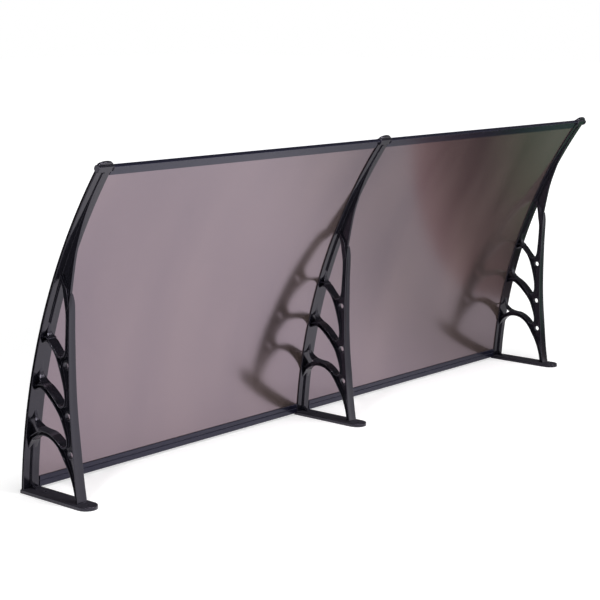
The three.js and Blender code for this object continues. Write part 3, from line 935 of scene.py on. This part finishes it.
def rear_bar_outline():
    b = {key: value * MM for key, value in REAR_BAR.items()}
    s = sizes()
    start, end = b["start"], b["start"] + b["length"]
    middle, groove = lerp(start, end, GROOVE_PLACE), b["groove"]
    inner, outer = flange_face(), sheet_face() - s.gap
    slot = s.plate_thickness
    return [
        rail_point(start, 0), rail_point(end, 0), rail_point(end, outer), rail_point(slot, outer),
        rail_point(slot, inner), rail_point(end, inner), rail_point(end, b["thickness"]),
        rail_point(middle + groove, b["thickness"]),
        rail_point(middle + groove, b["thickness"] - b["groove_depth"]),
        rail_point(middle - groove, b["thickness"] - b["groove_depth"]),
        rail_point(middle - groove, b["thickness"]), rail_point(start, b["thickness"]),
    ]


class CANOPY_OT_edge_bars(bpy.types.Operator):
    """Model the slotted bars on the sheets' long edges"""

    bl_idname = "canopy.edge_bars"
    bl_label = "Edge bars"

    def execute(self, context):
        for kind, outline in (("front", front_bar_outline()), ("rear", rear_bar_outline())):
            for bay in BAYS:
                low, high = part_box(f"{kind}_bar_{bay}")
                bm = extruded(outline, high.x - low.x, (low.x + high.x) / 2)
                round_edges(bm, 0.35 * MM, 2, 50)
                make_piece(
                    f"slotted_{kind}_bar_{bay}", bm, bar_finish(), [f"{kind}_bar_{bay}"],
                )
        return {"FINISHED"}


# End caps
CAP_WALL, CAP_TOP, CAP_LIP, NOSE_DEPTH, CAP_SLOPE = 2.7 * MM, 3 * MM, 2.5 * MM, 7 * MM, 3 * MM
CAP_SIDE, CAP_MIDDLE = 12.5 * MM, 22 * MM
CHEEK_DEPTH, CHEEK_RADIUS = 14 * MM, 7 * MM
RECESS, RECESS_DEPTH, RECESS_SPACING, RECESS_LEVEL = 5.5 * MM, 4 * MM, 20 * MM, 3.2 * MM


def cap_width():
    return sizes().rail_tip + 2 * (sizes().gap + CAP_WALL)


def cap_hood(back):
    """Hood over the rail's end, with an arched nose between the cheeks."""
    half = (cap_width() - CAP_WALL) / 2
    bm = bmesh.new()
    points = []
    for i in range(29):
        angle = math.pi * i / 28
        points.append((half * math.cos(angle), lerp(CAP_SIDE, CAP_MIDDLE, math.sin(angle))))
    points += [(-half, back), (half, back)]
    rim = []
    for x, reach in points:
        p = tip_point(reach, -CAP_TOP)
        rim.append(bm.verts.new((x, p.x, p.y)))
    face = bm.faces.new(rim)
    down = tip_point(0, NOSE_DEPTH) - tip_point(0, -CAP_TOP)
    bmesh.ops.translate(bm, verts=grown_verts(bm, [face]), vec=(0, down.x, down.y))
    for v, (x, reach) in zip(rim, points):
        fall = CAP_SLOPE * (reach - back) / (CAP_MIDDLE - back)
        p = tip_point(reach, fall - CAP_TOP)
        v.co = Vector((x, p.x, p.y))
    return round_edges(closed(bm), 2.2 * MM, 4, 50)


def cap_block(back, reach, outer, inner, width):
    return extruded([
        tip_point(back, outer), tip_point(reach, outer), tip_point(reach, inner), tip_point(back, inner),
    ], width)


def cap_cheek(back, x):
    section = rounded_box(back, CAP_SIDE, -CAP_TOP, CHEEK_DEPTH, CHEEK_RADIUS, 8)
    outline = [tip_point(reach, depth) for reach, depth in section]
    return round_edges(extruded(outline, CAP_WALL, x), 0.9 * MM, 3, 60)


def cap_mesh():
    s = sizes()
    back = s.gap - SHEET_SHORT
    outer, inner = flange_face() - s.gap, flange_underside() + s.gap
    pocket = cap_block(back - 2 * MM, PAD_REACH + s.gap, outer, inner, cap_width() - 2 * CAP_WALL)
    lip = cap_block(back, CAP_SIDE, outer, inner + CAP_LIP, cap_width() - CAP_WALL)
    place = (cap_width() - CAP_WALL) / 2
    added = [round_edges(lip, 0.8 * MM, 3, 60), cap_cheek(back, place), cap_cheek(back, -place)]
    whole = combined(cap_hood(back), added, "UNION")
    ahead = tip_point(1, 0) - tip_point(0, 0)
    p = tip_point(CAP_MIDDLE - MM, RECESS_LEVEL)
    recesses = [
        rod(RECESS, 2 * RECESS_DEPTH, (sign * RECESS_SPACING / 2, p.x, p.y), (0, ahead.x, ahead.y), 32)
        for sign in (-1, 1)
    ]
    return combined(whole, [pocket, *recesses], "DIFFERENCE")


class CANOPY_OT_end_caps(bpy.types.Operator):
    """Model the end caps on the tips of the rails"""

    bl_idname = "canopy.end_caps"
    bl_label = "End caps"

    def execute(self, context):
        one = cap_mesh()
        for place, x in BRACKET_PLACES:
            make_piece(
                f"nosed_cap_{place}", moved_copy(one, x), cap_plastic(),
                [f"end_cap_{place}"],
            )
        one.free()
        return {"FINISHED"}


# Stage
CAMERA_PLACE = (-3.3206, -2.7658, 1.1295)
CAMERA_TURN = math.radians(49.01)
CAMERA_DIP = math.radians(10.29)
CAMERA_LENS, CAMERA_FRAME = 94.06, 36
LAMPS = (
    ("left_softbox", (-2.9, -1.1, 2.9), (-0.4, 0, 0.3), 0.3, 0.3, 28),
    ("front_softbox", (1.2, -4.2, 2.6), (0, 0, 0.35), 2.4, 1.8, 120),
    ("top_softbox", (-0.5, -1.2, 3.8), (0, 0, 0.3), 1.8, 1.4, 60),
)
ROOM_LIGHT = 0.45
CEILING_START, CEILING_END, CEILING_LEVEL = 0.1, 0.5, 0.08
FLOOR_SIZE, FLOOR_SPOTS = 30, (0.84, 0.84, 0.84, 1)
GLOW_START, GLOW_END, GLOW_NEAR, GLOW_FAR = 1.2, 5, 0.35, 0.8
# Painted shade on the floor to the right, which only reflections show
DIM_START, DIM_END, DIM_LEVEL, PAINTED_SHADE_COLOUR = 0.3, 1.05, 0.48, (0.02, 0.02, 0.03, 1)
CARD_RISE = 2 * MM
# Cards that only reflections show: painted dark and mottled reflections on the glossy faces
LEFT_CARD = ((-1.3, 0.15), (-1.25, 2.6), (-5.0, 4.5), (-5.0, 0.15))
RIGHT_CARD = (
    (1.16, -0.36), (1.18, -0.31), (1.22, -0.25), (1.28, -0.19), (1.45, -0.14), (3.2, -0.05),
    (3.2, -1.6), (1.16, -0.8),
)
BLACK_SPAN, MOTTLED_SPAN = (-5, 0), (1.15, 2.15)
DARK_REFLECTION_STOPS = ((0.02, 0.02, 0.022, 1), (0.015, 0.015, 0.017, 1))
MOTTLED_REFLECTION_STOPS = (
    (0.55, 0.38, 0.38, 1), (0.2, 0.135, 0.135, 1), (0.08, 0.06, 0.065, 1),
    (0.06, 0.13, 0.07, 1), (0.14, 0.26, 0.17, 1),
)


def add_lamp(name, place, target, width, height, power):
    light = bpy.data.lights.new(name, "AREA")
    light.shape = "RECTANGLE"
    light.size, light.size_y = width, height
    light.energy = power
    obj = bpy.data.objects.new(name, light)
    obj.location = place
    obj.rotation_euler = (Vector(target) - Vector(place)).to_track_quat("-Z", "Y").to_euler()
    bpy.context.scene.collection.objects.link(obj)


def white_to_view(tree):
    """1 for rays that show the backdrop (camera, glossy and transmission), and the ray node."""
    path = node(tree, "ShaderNodeLightPath")
    seen = node(tree, "ShaderNodeMath", {
        0: path.outputs["Is Camera Ray"], 1: path.outputs["Is Glossy Ray"],
    }, operation="MAXIMUM")
    both = node(tree, "ShaderNodeMath", {
        0: seen.outputs[0], 1: path.outputs["Is Transmission Ray"],
    }, operation="MAXIMUM")
    return both.outputs[0], path


def studio_world():
    """White backdrop whose ceiling is dark in reflections, and an even room light."""
    world = bpy.data.worlds.new("Studio")
    world.use_nodes = True
    bpy.context.scene.world = world
    tree = world.node_tree
    seen, path = white_to_view(tree)
    background = tree.nodes["Background"]
    background.inputs["Color"].default_value = (1, 1, 1, 1)
    place = node(tree, "ShaderNodeTexCoord")
    axes = node(tree, "ShaderNodeSeparateXYZ", {"Vector": place.outputs["Generated"]})
    ceiling = node(tree, "ShaderNodeMapRange", {
        "Value": axes.outputs["Z"], "From Min": CEILING_START, "From Max": CEILING_END,
        "To Min": 1.0, "To Max": CEILING_LEVEL,
    })
    backdrop = node(tree, "ShaderNodeMath", {
        0: ceiling.outputs["Result"], 1: path.outputs["Is Camera Ray"],
    }, operation="MAXIMUM")
    level = node(tree, "ShaderNodeMix", {
        "Factor": seen, "A": ROOM_LIGHT, "B": backdrop.outputs[0],
    }, data_type="FLOAT")
    tree.links.new(level.outputs["Result"], background.inputs["Strength"])


def floor_finish():
    """Pale floor, white towards the horizon, with painted shade to the right that only reflections show."""
    material, tree, shader = bare_material("Studio floor")
    seen, path = white_to_view(tree)
    place = node(tree, "ShaderNodeTexCoord")
    spots = node(tree, "ShaderNodeTexNoise", {"Vector": place.outputs["Object"], "Scale": 3})
    tint = node(tree, "ShaderNodeMix", {
        "Factor": spots.outputs["Fac"], "A": colours().floor, "B": FLOOR_SPOTS,
    }, data_type="RGBA")
    axes = node(tree, "ShaderNodeSeparateXYZ", {"Vector": place.outputs["Object"]})
    right = node(tree, "ShaderNodeMapRange", {
        "Value": axes.outputs["X"], "From Min": DIM_START, "From Max": DIM_END,
        "To Min": 0.0, "To Max": DIM_LEVEL,
    }, interpolation_type="SMOOTHSTEP")
    # Painted shade: glossy rays see the floor darker to the right
    dim = node(tree, "ShaderNodeMath", {
        0: right.outputs["Result"], 1: path.outputs["Is Glossy Ray"],
    }, operation="MULTIPLY")
    dimmed = node(tree, "ShaderNodeMix", {
        "Factor": dim.outputs[0], "A": tint.outputs["Result"], "B": PAINTED_SHADE_COLOUR,
    }, data_type="RGBA")
    away = node(tree, "ShaderNodeVectorMath", {0: place.outputs["Object"]}, operation="LENGTH")
    lift = node(tree, "ShaderNodeMapRange", {
        "Value": away.outputs["Value"], "From Min": GLOW_START, "From Max": GLOW_END,
        "To Min": GLOW_NEAR, "To Max": GLOW_FAR,
    }, interpolation_type="SMOOTHSTEP")
    bright = node(tree, "ShaderNodeMath", {0: 1.0, 1: dim.outputs[0]}, operation="SUBTRACT")
    shown = node(tree, "ShaderNodeMath", {0: seen, 1: bright.outputs[0]}, operation="MULTIPLY")
    glow = node(tree, "ShaderNodeMath", {
        0: shown.outputs[0], 1: lift.outputs["Result"],
    }, operation="MULTIPLY")
    tree.links.new(dimmed.outputs["Result"], shader.inputs["Base Color"])
    tree.links.new(glow.outputs[0], shader.inputs["Emission Strength"])
    shader.inputs["Emission Color"].default_value = (1, 1, 1, 1)
    shader.inputs["Roughness"].default_value = 0.9
    shader.inputs["Specular IOR Level"].default_value = 0.0
    return material


def reflection_card_finish(name, span, stops):
    """Painted reflection: a card whose colour runs along X through the stops, and which only reflections
    show.
    """
    material, tree, shader = bare_material(name)
    place = node(tree, "ShaderNodeTexCoord")
    axes = node(tree, "ShaderNodeSeparateXYZ", {"Vector": place.outputs["Object"]})
    along = node(tree, "ShaderNodeMapRange", {
        "Value": axes.outputs["X"], "From Min": span[0], "From Max": span[1],
    })
    ramp = node(tree, "ShaderNodeValToRGB", {"Fac": along.outputs["Result"]})
    elements = ramp.color_ramp.elements
    while len(elements) < len(stops):
        elements.new(1.0)
    for i, stop in enumerate(stops):
        elements[i].position = i / (len(stops) - 1)
        elements[i].color = stop
    path = node(tree, "ShaderNodeLightPath")
    tree.links.new(ramp.outputs["Color"], shader.inputs["Base Color"])
    tree.links.new(path.outputs["Is Glossy Ray"], shader.inputs["Alpha"])
    shader.inputs["Roughness"].default_value = 0.95
    shader.inputs["Specular IOR Level"].default_value = 0.0
    return material


def add_card(name, outline, material):
    """Card on the floor beside the view, for the glossy faces to mirror as a painted reflection."""
    bm = bmesh.new()
    bm.faces.new([bm.verts.new((x, y, CARD_RISE)) for x, y in outline])
    mesh = bpy.data.meshes.new(name)
    bm.to_mesh(mesh)
    bm.free()
    mesh.materials.append(material)
    card = bpy.data.objects.new(name, mesh)
    bpy.context.scene.collection.objects.link(card)


def add_floor():
    bm = bmesh.new()
    bmesh.ops.create_grid(bm, x_segments=4, y_segments=4, size=FLOOR_SIZE)
    mesh = bpy.data.meshes.new("studio_floor")
    bm.to_mesh(mesh)
    bm.free()
    mesh.materials.append(floor_finish())
    floor = bpy.data.objects.new("studio_floor", mesh)
    bpy.context.scene.collection.objects.link(floor)


def add_camera():
    camera = bpy.data.cameras.new("photo_camera")
    camera.lens = CAMERA_LENS
    camera.sensor_width = CAMERA_FRAME
    obj = bpy.data.objects.new("photo_camera", camera)
    obj.location = CAMERA_PLACE
    obj.rotation_euler = (math.pi / 2 - CAMERA_DIP, 0, -CAMERA_TURN)
    bpy.context.scene.collection.objects.link(obj)
    bpy.context.scene.camera = obj


class CANOPY_OT_stage(bpy.types.Operator):
    """Set the floor, the lamps, the backdrop and the camera"""

    bl_idname = "canopy.stage"
    bl_label = "Stage"

    def execute(self, context):
        add_floor()
        # Painted reflections: cards that only glossy rays see
        dark_reflection = reflection_card_finish("Painted dark reflection", BLACK_SPAN, DARK_REFLECTION_STOPS)
        mottled_reflection = reflection_card_finish("Painted mottled reflection", MOTTLED_SPAN, MOTTLED_REFLECTION_STOPS)
        add_card("left_card", LEFT_CARD, dark_reflection)
        add_card("right_card", RIGHT_CARD, mottled_reflection)
        for lamp in LAMPS:
            add_lamp(*lamp)
        studio_world()
        add_camera()
        context.scene.view_settings.view_transform = "Standard"
        return {"FINISHED"}


STEPS = (
    CANOPY_OT_brackets, CANOPY_OT_sheets, CANOPY_OT_cover_strips, CANOPY_OT_strip_screws,
    CANOPY_OT_edge_bars, CANOPY_OT_end_caps, CANOPY_OT_stage,
)


class CANOPY_PT_panel(bpy.types.Panel):
    """Canopy tools"""

    bl_idname = "CANOPY_PT_panel"
    bl_label = "Door canopy"
    bl_space_type = "VIEW_3D"
    bl_region_type = "UI"
    bl_category = "Canopy"

    def draw(self, context):
        for group in (context.scene.canopy_sizes, context.scene.canopy_colours):
            box = self.layout.box()
            for key in group.__annotations__:
                box.prop(group, key)
        for step in STEPS:
            self.layout.operator(step.bl_idname)


CLASSES = (CanopySizes, CanopyColours, *STEPS, CANOPY_PT_panel)


def register():
    for cls in CLASSES:
        bpy.utils.register_class(cls)
    bpy.types.Scene.canopy_sizes = bpy.props.PointerProperty(type=CanopySizes)
    bpy.types.Scene.canopy_colours = bpy.props.PointerProperty(type=CanopyColours)


def unregister():
    del bpy.types.Scene.canopy_colours
    del bpy.types.Scene.canopy_sizes
    for cls in reversed(CLASSES):
        bpy.utils.unregister_class(cls)


def main():
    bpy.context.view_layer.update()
    register()
    for step in STEPS:
        group, name = step.bl_idname.split(".")
        getattr(getattr(bpy.ops, group), name)()


if __name__ == "__main__":
    main()
